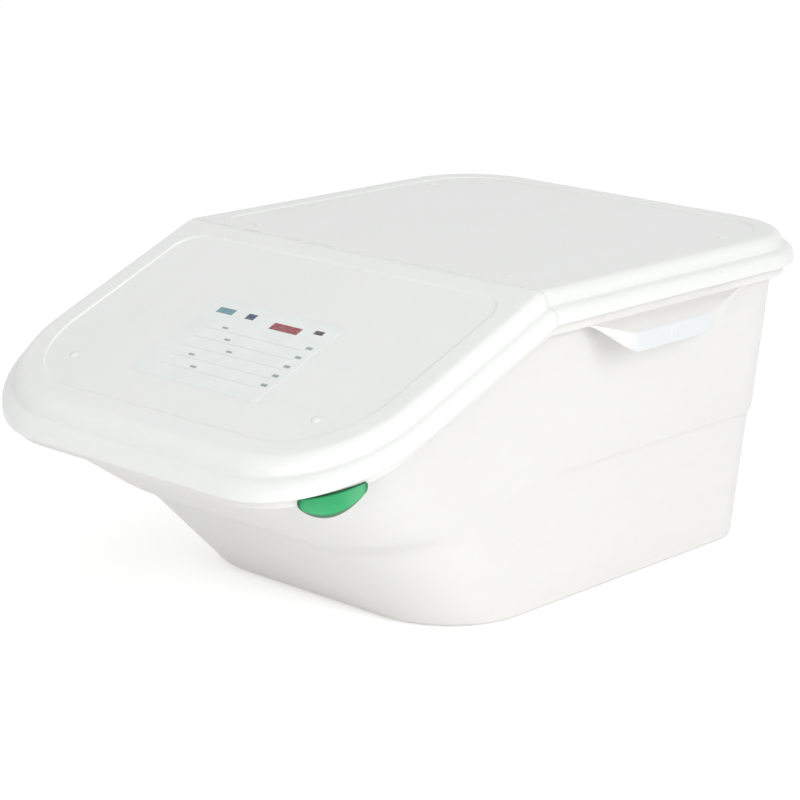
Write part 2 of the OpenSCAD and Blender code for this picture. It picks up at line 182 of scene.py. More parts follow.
@dataclass
class BinForm:
    """Sizes that the lid and the tub's rim share, in metres.

    Attributes:
        skirt: Plan outline of the lid over its skirt.
        height: Height of the flat rear top.
        crease_at: Distance of the crease ahead of mid length.
        slope: Fall of the front panel, in radians.
        crease_r: Radius of the bend at the crease.
        thickness: Thickness of the lid.
        slit: Gap between the two panels at the hinge line.
        lip_in: Inset of the rim lip's outside from the skirt.
        lip_t: Thickness of the rim lip.
        lip_drop: Drop from the crest to the bottom of the rim lip.
        grip_front: Front end of the grip ledges.
        grip_length: Length of the grip ledges.
        grip_run: Length of the curved run at their front end.
        grip_sweep: Length of the long curved run at their rear end.
        corner_steps: Steps round each plan corner.
        shares: Places of the columns along a straight side, from 0 to 1.
    """

    skirt: Plan
    height: float
    crease_at: float = 0.059
    slope: float = math.radians(22.4)
    crease_r: float = 0.025
    thickness: float = 0.0022
    slit: float = 0.0003
    lip_in: float = 0.0075
    lip_t: float = 0.002
    lip_drop: float = 0.033
    grip_front: float = -0.014
    grip_length: float = 0.208
    grip_run: float = 0.036
    grip_sweep: float = 0.096
    corner_steps: int = 24
    shares: list[float] = field(init=False)

    def __post_init__(self) -> None:
        """Works out the columns along a straight side."""
        self.shares = [self.share(y) for y in self.columns()]

    @property
    def bend(self) -> float:
        """Half length of the bend at the crease, along each panel."""
        return self.crease_r * math.tan(self.slope / 2)

    @property
    def bend_front(self) -> float:
        """Place where the bend runs into the sloping panel."""
        return -self.crease_at - self.bend * math.cos(self.slope)

    @property
    def bend_rear(self) -> float:
        """Place where the bend runs into the flat panel."""
        return self.bend - self.crease_at

    @property
    def hinge_y(self) -> float:
        """Place of the hinge line, midway round the bend."""
        return self.bend_rear - self.crease_r * math.sin(self.slope / 2)

    @property
    def side(self) -> tuple[float, float]:
        """Front and rear ends of the skirt's straight sides."""
        return self.skirt.front_r - self.skirt.front, self.skirt.rear - self.skirt.rear_r

    def share(self, y: float) -> float:
        """Returns the share along a straight side of a place on the skirt."""
        first, last = self.side
        return (y - first) / (last - first)

    def columns(self) -> list[float]:
        """Spaces the columns along a straight side, closer where it bends.

        Returns:
            Their places along the bin, front to rear.
        """
        first, last = self.side
        near, far = self.hinge_y - self.slit / 2, self.hinge_y + self.slit / 2
        grip_rear = self.grip_front + self.grip_length
        run, sweep = self.grip_run, self.grip_sweep
        return (steps(first, self.bend_front, 8) + steps(self.bend_front, near, 5) + [near]
                + steps(far, self.bend_rear, 5) + [self.bend_rear]
                + steps(self.bend_rear, self.grip_front, 3)[1:]
                + steps(self.grip_front, self.grip_front + run, 16)
                + steps(self.grip_front + run, grip_rear - sweep, 6)
                + steps(grip_rear - sweep, grip_rear, 24) + steps(grip_rear, last, 3) + [last])

    def crest(self, y: float) -> float:
        """Follows the lid's crest: level, round the bend and down the slope.

        Args:
            y: The place.

        Returns:
            The crest's height there.
        """
        ahead = y + self.crease_at
        if ahead >= self.bend:
            return self.height
        if ahead <= -self.bend * math.cos(self.slope):
            return self.height + ahead * math.tan(self.slope)
        rise = math.sqrt(self.crease_r ** 2 - (ahead - self.bend) ** 2)
        return self.height - self.crease_r + rise

    def ring(self, inset: float, drop: float) -> Ring:
        """Returns the closed ring at an inset from the skirt and a drop below the crest."""
        plan = self.skirt.drawn_in(inset)
        return [Vector((x, y, self.crest(y) - drop))
                for x, y in plan.outline(self.shares, self.corner_steps)]

    def on_panel(self, x: float, y: float, drop: float) -> Vector:
        """Returns the point of a lid panel at a place, lowered by a drop."""
        return Vector((x, y, self.crest(y) - drop))


class RingStack:
    """A skin made by pulling a closed ring of edges from place to place."""

    def __init__(self, first: Ring, bm: bmesh.types.BMesh | None = None) -> None:
        """Starts the skin with its first ring.

        Args:
            first: Places of the first ring.
            bm: The mesh to build in, or none for a new one.
        """
        self.bm = bm or bmesh.new()
        self.ring = [self.bm.verts.new(place) for place in first]
        for i, vert in enumerate(self.ring):
            self.bm.edges.new((self.ring[i - 1], vert))

    def edges(self) -> list[bmesh.types.BMEdge]:
        """Returns the edges of the present ring."""
        return [self.bm.edges.get((self.ring[i - 1], v)) for i, v in enumerate(self.ring)]

    def pull(self, places: Ring) -> None:
        """Extrudes the present ring and moves the new one to its places.

        Args:
            places: Places of the new ring.
        """
        column = {vert: i for i, vert in enumerate(self.ring)}
        made = bmesh.ops.extrude_edge_only(self.bm, edges=self.edges())["geom"]
        pulled = dict.fromkeys(range(len(self.ring)))
        for vert in (g for g in made if isinstance(g, bmesh.types.BMVert)):
            root = next(e.other_vert(vert) for e in vert.link_edges if e.other_vert(vert) in column)
            pulled[column[root]] = vert
        self.ring = [pulled[i] for i in range(len(self.ring))]
        for vert, place in zip(self.ring, places):
            vert.co = place

    def pull_through(self, rings: list[Ring]) -> None:
        """Pulls the ring through several places in turn."""
        for places in rings:
            self.pull(places)

    def cap(self) -> bmesh.types.BMFace:
        """Closes the present ring with one flat face and returns it."""
        return bmesh.ops.contextual_create(self.bm, geom=self.ring)["faces"][0]


def finished(name: str, bm: bmesh.types.BMesh, sharp_over: float = 32.0) -> bpy.types.Object:
    """Turns a mesh under construction into a smooth-shaded piece.

    Args:
        name: Name of the piece.
        bm: Its mesh, which is freed.
        sharp_over: Angle in degrees over which an edge stays sharp.

    Returns:
        The new object, linked to the scene.
    """
    bmesh.ops.recalc_face_normals(bm, faces=bm.faces)
    for face in bm.faces:
        face.smooth = True
    for edge in bm.edges:
        edge.smooth = edge.calc_face_angle(0.0) < math.radians(sharp_over)
    mesh = bpy.data.meshes.new(name)
    bm.to_mesh(mesh)
    bm.free()
    piece = bpy.data.objects.new(name, mesh)
    bpy.context.scene.collection.objects.link(piece)
    return piece


def soften(piece: bpy.types.Object, width: float, over: float, segments: int = 2) -> None:
    """Rounds a piece's sharp edges with a live bevel.

    Args:
        piece: The piece.
        width: Width of the bevel, in metres.
        over: Angle in degrees over which an edge is rounded.
        segments: Segments in the rounding.
    """
    bevel = piece.modifiers.new("Edge rounding", "BEVEL")
    bevel.width = width
    bevel.segments = segments
    bevel.limit_method = "ANGLE"
    bevel.angle_limit = math.radians(over)
    bevel.harden_normals = True


class Graph:
    """A thin layer over a node tree, which adds and links nodes by socket name."""

    def __init__(self, tree: bpy.types.NodeTree) -> None:
        """Clears a node tree and takes it over."""
        self.tree = tree
        tree.nodes.clear()

    def node(self, kind: str, links: dict | None = None, **settings: object) -> bpy.types.Node:
        """Adds a node.

        Args:
            kind: Its Blender type.
            links: Input sockets by name or number, each a value or a socket to link from.
            **settings: Properties of the node.

        Returns:
            The node.
        """
        made = self.tree.nodes.new(kind)
        for name, value in settings.items():
            setattr(made, name, value)
        for name, value in (links or {}).items():
            if isinstance(value, bpy.types.NodeSocket):
                self.tree.links.new(value, made.inputs[name])
            else:
                made.inputs[name].default_value = value
        return made

    def math(self, operation: str, *values: Given) -> bpy.types.NodeSocket:
        """Adds a Math node and returns its result."""
        made = self.node("ShaderNodeMath", dict(enumerate(values)), operation=operation)
        return made.outputs[0]

    def mix(self, share: Given, first: Given, second: Given) -> bpy.types.NodeSocket:
        """Adds a colour Mix node and returns its result."""
        made = self.node("ShaderNodeMix", {0: share, 6: first, 7: second}, data_type="RGBA")
        return made.outputs[2]

    def noise(self, place: bpy.types.NodeSocket, scale: float, detail: float, rough: float = 0.5,
              ) -> bpy.types.NodeSocket:
        """Adds a Noise Texture and returns its factor."""
        made = self.node("ShaderNodeTexNoise", {"Vector": place, "Scale": scale, "Detail": detail,
                                                "Roughness": rough})
        return made.outputs[0]

    def span(self, value: Given, low: float, high: float, to_low: float = 0.0, to_high: float = 1.0,
             ) -> bpy.types.NodeSocket:
        """Adds a clamped Map Range node and returns its result."""
        made = self.node("ShaderNodeMapRange", {"Value": value, "From Min": low, "From Max": high,
                                                "To Min": to_low, "To Max": to_high})
        return made.outputs[0]


def shader_group(name: str, inputs: dict[str, float], outputs: dict[str, str]) -> tuple[Graph, dict]:
    """Starts a shared node group with an object-space position of its own.

    Args:
        name: Name of the group.
        inputs: Float inputs and their defaults.
        outputs: Outputs and their socket types.

    Returns:
        The group's graph, and its input sockets with the position under "Place".
    """
    tree = bpy.data.node_groups.new(name, "ShaderNodeTree")
    graph = Graph(tree)
    for key, value in inputs.items():
        socket = tree.interface.new_socket(key, in_out="INPUT", socket_type="NodeSocketFloat")
        socket.default_value = value
    for key, kind in outputs.items():
        tree.interface.new_socket(key, in_out="OUTPUT", socket_type=kind)
    source = graph.node("NodeGroupInput")
    place = graph.node("ShaderNodeTexCoord").outputs["Object"]
    return graph, {"Place": place} | {key: source.outputs[key] for key in inputs}


class Effects:
    """Node groups that several finishes share."""

    def __init__(self) -> None:
        """Builds each group once."""
        self.grain = self.mould_grain()
        self.clouding = self.resin_clouding()
        self.scuffs = self.fine_scuffs()

    def mould_grain(self) -> bpy.types.NodeTree:
        """Builds the grain of a satin mould: a fine tooth over a slow ripple, as a normal.

        Returns:
            The node group.
        """
        graph, given = shader_group("Mould grain", {"Tooth": 0.1, "Ripple": 0.1},
                                    {"Normal": "NodeSocketVector"})
        tooth = graph.noise(given["Place"], 1600.0, 3.0, 0.65)
        ripple = graph.noise(given["Place"], 38.0, 2.0)
        slow = graph.node("ShaderNodeBump", {"Strength": given["Ripple"], "Distance": 0.002,
                                             "Height": ripple})
        fine = graph.node("ShaderNodeBump", {"Strength": given["Tooth"], "Distance": 0.0002,
                                             "Height": tooth, "Normal": slow.outputs[0]})
        graph.node("NodeGroupOutput", {"Normal": fine.outputs[0]})
        return graph.tree

    def resin_clouding(self) -> bpy.types.NodeTree:
        """Builds the clouding of unpigmented resin: slow patches with finer wisps, as a mask.

        Returns:
            The node group.
        """
        graph, given = shader_group("Resin clouding", {"Scale": 9.0}, {"Mask": "NodeSocketFloat"})
        stretched = graph.node("ShaderNodeMapping", {"Vector": given["Place"], "Scale": (1.0, 0.45, 1.3)})
        slow = graph.node("ShaderNodeTexNoise", {"Vector": stretched.outputs[0],
                                                 "Scale": given["Scale"], "Detail": 3.0})
        wisps = graph.noise(stretched.outputs[0], 95.0, 4.0)
        mask = graph.math("ADD", graph.math("MULTIPLY", slow.outputs[0], 0.75),
                          graph.math("MULTIPLY", wisps, 0.25))
        graph.node("NodeGroupOutput", {"Mask": graph.span(mask, 0.32, 0.68)})
        return graph.tree

    def fine_scuffs(self) -> bpy.types.NodeTree:
        """Builds faint handling scuffs: thin broken streaks in two directions, as a mask.

        Returns:
            The node group.
        """
        graph, given = shader_group("Fine scuffs", {"Amount": 0.5}, {"Mask": "NodeSocketFloat"})
        streaks = []
        for turn, scale in ((0.6, (30.0, 700.0, 200.0)), (-0.9, (500.0, 24.0, 160.0))):
            turned = graph.node("ShaderNodeMapping", {"Vector": given["Place"], "Scale": scale,
                                                      "Rotation": (0.0, 0.0, turn)})
            line = graph.noise(turned.outputs[0], 1.0, 2.0)
            streaks.append(graph.span(line, 0.68, 0.74))
        patches = graph.span(graph.noise(given["Place"], 14.0, 2.0), 0.5, 0.66)
        both = graph.math("MAXIMUM", *streaks)
        mask = graph.math("MULTIPLY", graph.math("MULTIPLY", both, patches), given["Amount"])
        graph.node("NodeGroupOutput", {"Mask": mask})
        return graph.tree


@dataclass(frozen=True)
class MouldedPlastic:
    """A moulded plastic finish.

    Attributes:
        name: Name of the material.
        colour: Its main colour.
        cloud: Colour of its denser patches.
        cloud_scale: Scale of the patches, per metre.
        rough: Roughness where the surface is clean.
        scuffed: Roughness in the scuffs.
        milk: Weight of the light that travels inside it.
        depth: Distance that the light travels, in metres.
        tooth: Strength of the fine grain.
        ripple: Strength of the slow ripple.
        thin: Second colour, painted shade: for thin walls it paints the shade behind them, and for a rim it
            paints the shade along it.
        painted_shade_beyond: Distances from the middle plane between which the second colour sets in.
        rim: Name of the attribute that masks the second colour, the painted shade on a rim, where a piece
            has one.
    """

    name: str
    colour: tuple[float, float, float]
    cloud: tuple[float, float, float]
    cloud_scale: float = 9.0
    rough: float = 0.36
    scuffed: float = 0.55
    milk: float = 0.25
    depth: float = 0.006
    tooth: float = 0.12
    ripple: float = 0.08
    thin: tuple[float, float, float] = (0.7, 0.7, 0.7)
    painted_shade_beyond: tuple[float, float] | None = None
    rim: str = ""

    def painted_shade_mix(self, graph: Graph, base: bpy.types.NodeSocket) -> bpy.types.NodeSocket:
        """Mixes in the second colour, which is painted shade.

        Args:
            graph: The material's graph.
            base: The colour elsewhere.

        Returns:
            The mixed colour, or the base where the finish has no second colour.
        """
        # Painted shade masked by a vertex attribute, as on the clip's rim.
        if self.rim:
            mask = graph.node("ShaderNodeAttribute", attribute_name=self.rim).outputs["Fac"]
            return graph.mix(mask, base, (*self.thin, 1.0))
        if self.painted_shade_beyond is None:
            return base
        # Painted shade by distance from the middle plane: on the tub, the grip ledges' outer edge and face
        # turn bluish grey, for the shade behind the thin ledge.
        place = graph.node("ShaderNodeTexCoord").outputs["Object"]
        across = graph.math("ABSOLUTE", graph.node("ShaderNodeSeparateXYZ", {0: place}).outputs[0])
        return graph.mix(graph.span(across, *self.painted_shade_beyond), base, (*self.thin, 1.0))

    def material(self, effects: Effects) -> bpy.types.Material:
        """Builds the material.

        Args:
            effects: The shared node groups.

        Returns:
            The material.
        """
        made = bpy.data.materials.new(self.name)
        made.use_nodes = True
        graph = Graph(made.node_tree)
        clouding = graph.node("ShaderNodeGroup", node_tree=effects.clouding)
        clouding.inputs["Scale"].default_value = self.cloud_scale
        scuffs = graph.node("ShaderNodeGroup", node_tree=effects.scuffs)
        grain = graph.node("ShaderNodeGroup", node_tree=effects.grain)
        grain.inputs["Tooth"].default_value = self.tooth
        grain.inputs["Ripple"].default_value = self.ripple
        base = self.painted_shade_mix(graph, graph.mix(clouding.outputs[0], (*self.colour, 1.0), (*self.cloud, 1.0)))
        pale = tuple(lerp(c, 1.0, 0.35) for c in self.colour)
        colour = graph.mix(graph.math("MULTIPLY", scuffs.outputs[0], 0.5), base, (*pale, 1.0))
        rough = graph.span(scuffs.outputs[0], 0.0, 1.0, self.rough, self.scuffed)
        shader = graph.node("ShaderNodeBsdfPrincipled", {
            "Base Color": colour, "Roughness": rough, "Normal": grain.outputs[0],
            "IOR": 1.49, "Subsurface Weight": self.milk,
            "Subsurface Radius": (1.0, 0.95, 0.85), "Subsurface Scale": self.depth})
        graph.node("ShaderNodeOutputMaterial", {"Surface": shader.outputs[0]})
        return made


@dataclass(frozen=True)
class LabelFilm:
    """A clear printed film with ruled lines and plain blocks.

    Attributes:
        centre: Middle of the label, in metres.
        slope: Fall of the label towards the front, in radians.
        half: Half of its width and half of its height; not used.
        film: Colour of the unprinted film.
        ink: Colour of the ruled lines.
        blocks: Each block's centre, half size and colour, on the label.
        rules: Height of the first ruled line, their spacing and their count.
    """

    centre: Vector
    slope: float
    half: tuple[float, float] = (0.067, 0.051)
    film: tuple[float, float, float] = (0.795, 0.835, 0.82)
    ink: tuple[float, float, float] = (0.5, 0.55, 0.58)
    blocks: tuple = (
        ((-0.047, 0.037), (0.0085, 0.0035), (0.1, 0.26, 0.31)),
        ((-0.02, 0.037), (0.0045, 0.0035), (0.01, 0.03, 0.11)),
        ((0.02, 0.033), (0.0145, 0.0042), (0.27, 0.012, 0.022)),
        ((0.051, 0.037), (0.0045, 0.0024), (0.05, 0.01, 0.02)),
    )
    rules: tuple[float, float, int] = (0.018, 0.0125, 5)

    def box(self, graph: Graph, place: dict, centre: tuple, half: tuple) -> bpy.types.NodeSocket:
        """Masks a rectangle on the label.

        Args:
            graph: The material's graph.
            place: The label's own x and y sockets.
            centre: Centre of the rectangle.
            half: Half of its width and half of its height.

        Returns:
            1 inside it and 0 outside.
        """
        inside = [graph.math("LESS_THAN", graph.math("ABSOLUTE", graph.math("SUBTRACT", place[k], c)), h)
                  for k, c, h in zip("xy", centre, half)]
        return graph.math("MULTIPLY", *inside)

    def material(self, effects: Effects) -> bpy.types.Material:
        """Builds the material.

        Args:
            effects: The shared node groups.

        Returns:
            The material.
        """
        made = bpy.data.materials.new("Label film")
        made.use_nodes = True
        graph = Graph(made.node_tree)
        where = graph.node("ShaderNodeTexCoord").outputs["Object"]
        moved = graph.node("ShaderNodeVectorMath", {0: where, 1: tuple(-self.centre)}, operation="ADD")
        laid = graph.node("ShaderNodeVectorRotate", {"Vector": moved.outputs[0], "Angle": -self.slope},
                          rotation_type="X_AXIS")
        split = graph.node("ShaderNodeSeparateXYZ", {0: laid.outputs[0]})
        place = {"x": split.outputs[0], "y": split.outputs[1]}
        worn = graph.span(graph.noise(where, 900.0, 3.0), 0.35, 0.6, 0.8, 1.0)
        colour = graph.mix(graph.span(graph.noise(where, 60.0, 3.0), 0.3, 0.7), (*self.film, 1.0),
                           (*(c * 1.05 for c in self.film), 1.0))
        first, gap, count = self.rules
        for row in range(count):
            high = first - row * gap
            line = self.box(graph, place, (0.004, high - 0.004), (0.052, 0.0004))
            colour = graph.mix(graph.math("MULTIPLY", line, 0.4), colour, (*self.ink, 1.0))
            tick = self.box(graph, place, (0.058, high), (0.003, 0.0016))
            mark = self.box(graph, place, (-0.03 + 0.014 * (row % 3), high), (0.003, 0.0012))
            both = graph.math("MULTIPLY", graph.math("MAXIMUM", tick, mark), worn)
            colour = graph.mix(graph.math("MULTIPLY", both, 0.8), colour, (0.16, 0.22, 0.2, 1.0))
        for centre, half, tint in self.blocks:
            block = graph.math("MULTIPLY", self.box(graph, place, centre, half), worn)
            colour = graph.mix(block, colour, (*tint, 1.0))
        grain = graph.node("ShaderNodeGroup", node_tree=effects.grain)
        grain.inputs["Tooth"].default_value = 0.05
        shader = graph.node("ShaderNodeBsdfPrincipled", {
            "Base Color": colour, "Roughness": 0.42, "Normal": grain.outputs[0], "IOR": 1.45})
        graph.node("ShaderNodeOutputMaterial", {"Surface": shader.outputs[0]})
        return made


@dataclass
class LidPanel:
    """One panel of the lid: a thin shell with a crest, a ledge, a skirt and a recess.

    Attributes:
        form: The shared sizes.
        side: Which panel it is.
        crest_in: Inset of the raised panel's flat.
        crest_r: Radius of the bead along the raised panel's edge.
        wall_top: Inset of the top of the raised panel's wall.
        wall_foot: Inset of its foot.
        ledge_drop: Drop from the crest to the ledge.
        foot_r: Radius where the wall meets the ledge.
        shoulder_r: Radius where the ledge turns into the skirt.
        skirt_drop: Drop from the crest to the bottom of the skirt.
        recess_in: Inset of the recess.
        recess_depth: Depth of the recess.
        recess_run: Width of the recess wall.
        recess_r: Corner radius of the recess beside the crease.
        crease_land: Flat land between the hinge line and the recess.
        pips: Places of the low gate pips on the panel, x and y.
        pip_r: Radius of a pip.
        pip_rise: Height of a pip.
    """

    form: BinForm
    side: Side
    crest_in: float = 0.0205
    crest_r: float = 0.009
    wall_top: float = 0.0115
    wall_foot: float = 0.0095
    ledge_drop: float = 0.0115
    foot_r: float = 0.0018
    shoulder_r: float = 0.007
    skirt_drop: float = 0.0235
    recess_in: float = 0.032
    recess_depth: float = 0.0012
    recess_run: float = 0.0015
    recess_r: float = 0.022
    crease_land: float = 0.016
    pips: tuple = ()
    pip_r: float = 0.0038
    pip_rise: float = 0.0011

    @property
    def node(self) -> str:
        """Name of the panel's node in the frame."""
        return "rear_cover" if self.side is Side.REAR else "front_flap"

    @property
    def body(self) -> str:
        """Name of the body that carries the panel."""
        return "lid" if self.side is Side.REAR else "flap"

    def section(self) -> Section:
        """Draws the edge's section.

        Returns:
            The section as insets and drops, from the skirt up to the flat.
        """
        down = filleted([(self.crest_in + 0.002, 0.0, 0.0), (self.wall_top, 0.0, self.crest_r * 0.92),
                         (self.wall_foot, self.ledge_drop, self.foot_r),
                         (0.0, self.ledge_drop, self.shoulder_r), (0.0, self.skirt_drop, 0.0)], 8)
        return list(reversed(down))

    def shell(self) -> bmesh.types.BMesh:
        """Builds the whole lid's outer skin, then keeps this panel's part of it.

        Returns:
            The panel's open skin.
        """
        first, *rest = [self.form.ring(inset, drop) for inset, drop in self.section()]
        stack = RingStack(first)
        stack.pull_through(rest)
        stack.cap()
        bm = stack.bm
        bmesh.ops.recalc_face_normals(bm, faces=bm.faces)
        edge = self.side.value * self.form.slit / 2 + self.form.hinge_y
        rows = [edge] + [y for y in self.form.columns()
                         if self.form.bend_front - 1e-6 <= y <= self.form.bend_rear + 1e-6]
        for y in sorted(set(rows)):
            bmesh.ops.bisect_plane(bm, geom=bm.verts[:] + bm.edges[:] + bm.faces[:], dist=1e-6,
                                   plane_co=(0, y, 0), plane_no=(0, 1, 0))
        bmesh.ops.bisect_plane(bm, geom=bm.verts[:] + bm.edges[:] + bm.faces[:], dist=1e-6,
                               plane_co=(0, edge, 0), plane_no=(0, -self.side.value, 0), clear_outer=True)
        return bm

    def recess_plan(self) -> Plan:
        """Works out the recess, round at the crease as well as at its far corners.

        Returns:
            The outline.
        """
        near = self.form.hinge_y + self.side.value * (self.crease_land + self.form.slit / 2)
        skirt = self.form.skirt.drawn_in(self.recess_in)
        if self.side is Side.REAR:
            return Plan(skirt.half_w, -near, skirt.rear, self.recess_r, skirt.rear_r)
        return Plan(skirt.half_w, skirt.front, near, skirt.front_r, self.recess_r)

    def recess_ring(self, inset: float, drop: float) -> Ring:
        """Returns the recess's ring at an inset and a drop below the panel."""
        points = self.recess_plan().drawn_in(inset).outline([0.0, 1.0], self.form.corner_steps)
        return [self.form.on_panel(x, y, drop) for x, y in points]

    def sink_recess(self, bm: bmesh.types.BMesh) -> None:
        """Cuts the recess out of the flat of the panel and lowers its floor.

        Args:
            bm: The panel's skin.
        """
        flat = max(bm.faces, key=lambda f: f.calc_area())
        around = flat.edges[:]
        bmesh.ops.delete(bm, geom=[flat], context="FACES_ONLY")
        wall = RingStack(self.recess_ring(0.0, 0.0), bm)
        around += wall.edges()
        wall.pull(self.recess_ring(self.recess_run, self.recess_depth))
        wall.cap()
        bmesh.ops.triangle_fill(bm, use_beauty=True, use_dissolve=False, edges=around)

    def add_pips(self, bm: bmesh.types.BMesh) -> None:
        """Adds the low round pips that stand on the recess floor.

        Args:
            bm: The mesh to add them to.
        """
        tilt = Matrix.Rotation(0.0 if self.side is Side.REAR else self.form.slope, 4, "X")
        for x, y in self.pips:
            place = self.form.on_panel(x, y, self.recess_depth)
            squashed = Matrix.Diagonal((self.pip_r, self.pip_r, self.pip_rise, 1.0))
            bmesh.ops.create_uvsphere(bm, u_segments=24, v_segments=12, radius=1.0,
                                      matrix=Matrix.Translation(place) @ tilt @ squashed)

    def build(self, finish: bpy.types.Material) -> list[bpy.types.Object]:
        """Builds and dresses the panel.

        Args:
            finish: The lid's material.

        Returns:
            The shell, which stands for its node, and its pips.
        """
        bm = self.shell()
        self.sink_recess(bm)
        piece = finished(f"{self.node}_shell", bm, 24.0)
        wall = piece.modifiers.new("Wall", "SOLIDIFY")
        wall.thickness = self.form.thickness
        wall.offset = -1.0
        wall.use_even_offset = True
        soften(piece, 0.0005, 24.0)
        piece.data.materials.append(finish)
        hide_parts(self.node)
        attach(piece, self.body)
        return [piece, self.build_pips(finish)]

    def build_pips(self, finish: bpy.types.Material) -> bpy.types.Object:
        """Builds the panel's gate pips as one piece.

        Args:
            finish: The lid's material.

        Returns:
            The pips.
        """
        bm = bmesh.new()
        self.add_pips(bm)
        piece = finished(f"{self.node}_pips", bm, 60.0)
        piece.data.materials.append(finish)
        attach(piece, self.body)
        return piece


@dataclass
class Tub:
    """The tub: floor, stepped walls, rim, hanging lip and grip ledges in one moulding.

    Attributes:
        form: The shared sizes.
        base: Plan of the base.
        step: Plan of the wall under the stacking step.
        step_z: Height of the step at the front and at the back.
        step_jog: Growth of the wall over the step: sides, front and back.
        step_rise: Height of the step's slant at the front and at the back.
        neck_in: Inset of the wall's top from the skirt.
        neck_drop: Drop from the crest to the wall's top.
        foot_r: Radius round the floor.
        wall: Thickness of the wall.
        front_wall: Thickness of the front wall, measured level.
        floor: Thickness of the floor.
        rim_drop: Drop from the crest to the rim's top.
        rim_t: Thickness of the rim.
        shoulder: Inset and drop of the centre of the rim's round shoulder.
        rim_edge_in: Inset of the rim's outer edge.
        grip_out: Reach of the grip ledges beyond the skirt.
        grip_fall: Drop of the ledges' edge below the lip.
        grip_depth: Drop of the ledges' foot below the lip.
        grip_t: Thickness of the ledges.
        rib: Depth and width of the rib on each ledge.
        rise: Each column's share of the rise from the neck's front to its back.
    """

    form: BinForm
    base: Plan = Plan(0.148, 0.103, 0.274, 0.074, 0.038)
    step: Plan = Plan(0.161, 0.179, 0.279, 0.07825, 0.048)
    step_z: tuple[float, float] = (0.076, 0.112)
    step_jog: tuple[float, float, float] = (0.003, 0.024, 0.0015)
    step_rise: tuple[float, float] = (0.012, 0.003)
    neck_in: float = 0.0175
    neck_drop: float = 0.033
    foot_r: float = 0.005
    wall: float = 0.0025
    front_wall: float = 0.00425
    floor: float = 0.003
    rim_drop: float = 0.014
    rim_t: float = 0.0022
    shoulder: tuple[float, float] = (0.007, 0.0185)
    rim_edge_in: float = 0.0025
    grip_out: float = 0.0146
    grip_fall: float = 0.006
    grip_depth: float = 0.021
    grip_t: float = 0.0024
    rib: tuple[float, float] = (0.002, 0.0018)
    rise: list[float] = field(init=False)

    def __post_init__(self) -> None:
        """Works out each column's share of the rise from the neck's front to its back."""
        heights = [p.z for p in self.form.ring(self.neck_in, self.neck_drop)]
        low, high = min(heights), max(heights)
        self.rise = [(z - low) / (high - low) for z in heights]

    def neck(self) -> Plan:
        """Returns the plan of the wall's top."""
        return self.form.skirt.drawn_in(self.neck_in)

    def levels(self) -> list[tuple[Plan, float, float]]:
        """Works out the wall's corners from base to neck.

        Returns:
            The levels, each a plan, its height at the front and its height at the back.
        """
        side, ahead, behind = self.step_jog
        over = Plan(self.step.half_w + side, self.step.front + ahead, self.step.rear + behind,
                    self.step.front_r + behind, self.step.rear_r + behind)
        neck = self.neck()
        return [(self.base, 0.0, 0.0), (self.step, *self.step_z),
                (over, self.step_z[0] + self.step_rise[0], self.step_z[1] + self.step_rise[1]),
                (neck, self.form.crest(-neck.front) - self.neck_drop, self.form.height - self.neck_drop)]

    def wall_ring(self, level: tuple[Plan, float, float], inset: float = 0.0, ahead: float = 0.0) -> Ring:
        """Returns the wall's ring at a level.

        Args:
            level: Plan, height at the front and height at the back.
            inset: Distance drawn in.
            ahead: Distance drawn in at the front.

        Returns:
            The ring's places.
        """
        plan, low, high = level
        points = plan.drawn_in(inset, ahead).outline(self.form.shares, self.form.corner_steps)
        return [Vector((x, y, lerp(low, high, s))) for (x, y), s in zip(points, self.rise)]

    def between(self, first: tuple, second: tuple, share: float) -> tuple[Plan, float, float]:
        """Returns the level at a share of the way between two levels."""
        return (first[0].toward(second[0], share), lerp(first[1], second[1], share),
                lerp(first[2], second[2], share))

    def low_level(self, z: float) -> tuple[Plan, float, float]:
        """Finds the wall's level at one height near the base.

        Args:
            z: The height.

        Returns:
            The level.
        """
        first, second = self.levels()[:2]
        ahead = self.between(first, second, z / self.step_z[0])[0]
        rest = self.between(first, second, z / self.step_z[1])[0]
        return (Plan(rest.half_w, ahead.front, rest.rear, ahead.front_r, rest.rear_r), z, z)

    def outer_rings(self) -> list[Ring]:
        """Works out the outer wall from the base up to the neck.

        Returns:
            The rings.
        """
        foot = [self.wall_ring(self.low_level(self.foot_r * (1 - math.cos(a))),
                               self.foot_r * (1 - math.sin(a)), self.foot_r * (1 - math.sin(a)))
                for a in (math.pi / 2 * k / 5 for k in range(1, 6))]
        base, step, over, neck = self.levels()
        start = self.wall_ring(base, self.foot_r, self.foot_r)
        low = self.low_level(self.foot_r)
        rise = [self.between(low, step, s) for s in (0.25, 0.5, 0.75, 0.9)]
        under = self.bent(self.between(low, step, 0.9), step, self.between(step, over, 0.4))
        above = self.bent(self.between(step, over, 0.6), over, self.between(over, neck, 0.06))
        tall = [self.between(over, neck, s) for s in (0.25, 0.5, 0.75, 0.97, 1.0)]
        return [start] + foot + [self.wall_ring(v) for v in rise[:-1] + under + above + tall]

    def bent(self, first: tuple, middle: tuple, last: tuple, count: int = 4) -> list[tuple]:
        """Rounds the corner between two stretches of wall.

        Args:
            first: Level where the bend starts.
            middle: Level that it bends towards.
            last: Level where it ends.
            count: Steps along it.

        Returns:
            The levels.
        """
        turned = []
        for k in range(count + 1):
            share = k / count
            turned.append(self.between(self.between(first, middle, share),
                                       self.between(middle, last, share), share))
        return turned

